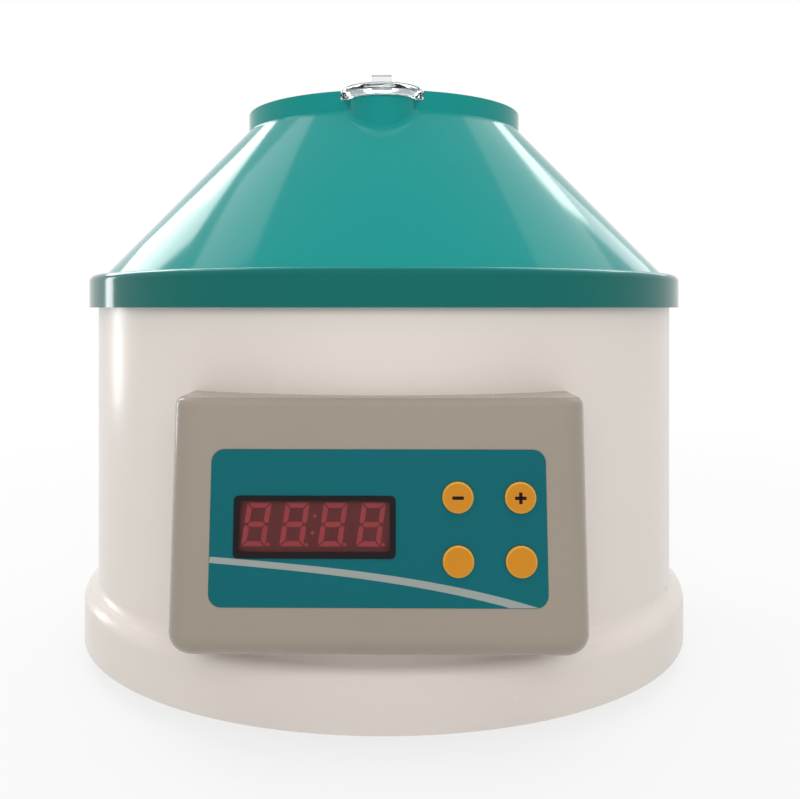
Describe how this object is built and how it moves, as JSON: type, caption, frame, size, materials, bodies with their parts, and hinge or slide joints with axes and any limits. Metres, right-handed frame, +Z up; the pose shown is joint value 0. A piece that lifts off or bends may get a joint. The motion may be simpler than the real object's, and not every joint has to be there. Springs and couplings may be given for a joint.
{
  "type": "low-speed centrifuge",
  "caption": "Bench centrifuge: round cabinet, cone cover with hinged clear lid, angle rotor for tubes, and a front panel with display and keys.",
  "frame": {"origin": "on the rotor's axis, at the plane of the feet", "axes": "+Z up along the rotor's axis, -Y towards the control panel, +X to the right as the operator sees it"},
  "size_m": [0.277, 0.2916, 0.2486],
  "materials": {
    "body_plastic": "glossy off-white moulded plastic",
    "housing_plastic": "satin grey-beige moulded plastic",
    "cover_plastic": "glossy teal moulded plastic",
    "clear_plastic": "clear polished plastic",
    "label_film": "teal printed film",
    "window_plastic": "smoked clear plastic",
    "display_face": "matte black plastic",
    "display_segment": "unlit dark red plastic",
    "key_plastic": "yellow-orange plastic",
    "black_plastic": "black moulded plastic",
    "board": "green circuit board",
    "rubber": "black rubber",
    "plate_steel": "painted sheet steel",
    "steel": "bright steel",
    "bowl_steel": "spun stainless steel",
    "rotor_aluminium": "anodised cast aluminium",
    "sleeve_plastic": "natural white plastic",
    "motor_steel": "black painted steel",
    "ferrite": "sintered ferrite",
    "winding": "varnished copper wire",
    "brass": "plated brass"
  },
  "bodies": {
    "cabinet": {"body_shell": "body_plastic", "base_plate": "plate_steel", "rubber_feet": "rubber", "chamber_bowl": "bowl_steel", "shaft_seal": "rubber", "cone_cover": "cover_plastic", "hinge_pin": "steel", "control_housing": "housing_plastic", "control_label": "label_film", "display_window": "window_plastic", "led_display": "display_face", "led_segments": "display_segment", "control_board": "board", "tactile_switches": "black_plastic", "motor_can": "motor_steel", "motor_end_bell": "motor_steel", "motor_bearings": "steel", "motor_magnets": "ferrite", "brush_holders": "black_plastic", "motor_plate": "plate_steel", "vibration_isolators": "rubber", "motor_posts": "steel", "power_inlet": "black_plastic", "inlet_pins": "brass", "fuse_holder": "black_plastic", "fuse_cap": "black_plastic", "switch_frame": "black_plastic", "board_standoffs": "brass", "power_board": "board", "transformer": "motor_steel", "base_screws": "steel", "cover_screws": "steel", "housing_screws": "steel", "board_screws": "steel", "motor_screws": "steel", "foot_screws": "steel"},
    "rotor": {"motor_shaft": "steel", "rotor_adapter": "steel", "rotor_head": "rotor_aluminium", "rotor_washer": "steel", "rotor_nut": "steel", "sleeve_cushions": "rubber", "armature": "winding", "commutator": "brass", "tube_sleeve_1": "sleeve_plastic", "tube_sleeve_2": "sleeve_plastic", "tube_sleeve_3": "sleeve_plastic", "tube_sleeve_4": "sleeve_plastic", "tube_sleeve_5": "sleeve_plastic", "tube_sleeve_6": "sleeve_plastic"},
    "lid": {"clear_lid": "clear_plastic"},
    "minus_key": {"key_minus": "key_plastic", "plunger_minus": "black_plastic"},
    "plus_key": {"key_plus": "key_plastic", "plunger_plus": "black_plastic"},
    "start_key": {"key_start": "key_plastic", "plunger_start": "black_plastic"},
    "stop_key": {"key_stop": "key_plastic", "plunger_stop": "black_plastic"},
    "rocker": {"switch_rocker": "black_plastic"}
  },
  "joints": [
    {"name": "lid_hinge", "type": "hinge", "parent": "cabinet", "child": "lid", "pos_m": [0, 0.069, 0.2416], "axis": [-1, 0, 0], "range_deg": [0, 105]},
    {"name": "rotor_spin", "type": "hinge", "parent": "cabinet", "child": "rotor", "pos_m": [0, 0, 0.158], "axis": [0, 0, 1], "continuous": true},
    {"name": "minus_press", "type": "slide", "parent": "cabinet", "child": "minus_key", "axis": [0, 0.9907, -0.1357], "range_m": [0, 0.0005], "stiffness_N_per_m": 500, "springref_m": -0.001},
    {"name": "plus_press", "type": "slide", "parent": "cabinet", "child": "plus_key", "axis": [0, 0.9907, -0.1357], "range_m": [0, 0.0005], "stiffness_N_per_m": 500, "springref_m": -0.001},
    {"name": "start_press", "type": "slide", "parent": "cabinet", "child": "start_key", "axis": [0, 0.9907, -0.1357], "range_m": [0, 0.0005], "stiffness_N_per_m": 500, "springref_m": -0.001},
    {"name": "stop_press", "type": "slide", "parent": "cabinet", "child": "stop_key", "axis": [0, 0.9907, -0.1357], "range_m": [0, 0.0005], "stiffness_N_per_m": 500, "springref_m": -0.001},
    {"name": "switch_rock", "type": "hinge", "parent": "cabinet", "child": "rocker", "pos_m": [0.032, 0.12, 0.067], "axis": [1, 0, 0], "range_deg": [0, 22]}
  ]
}
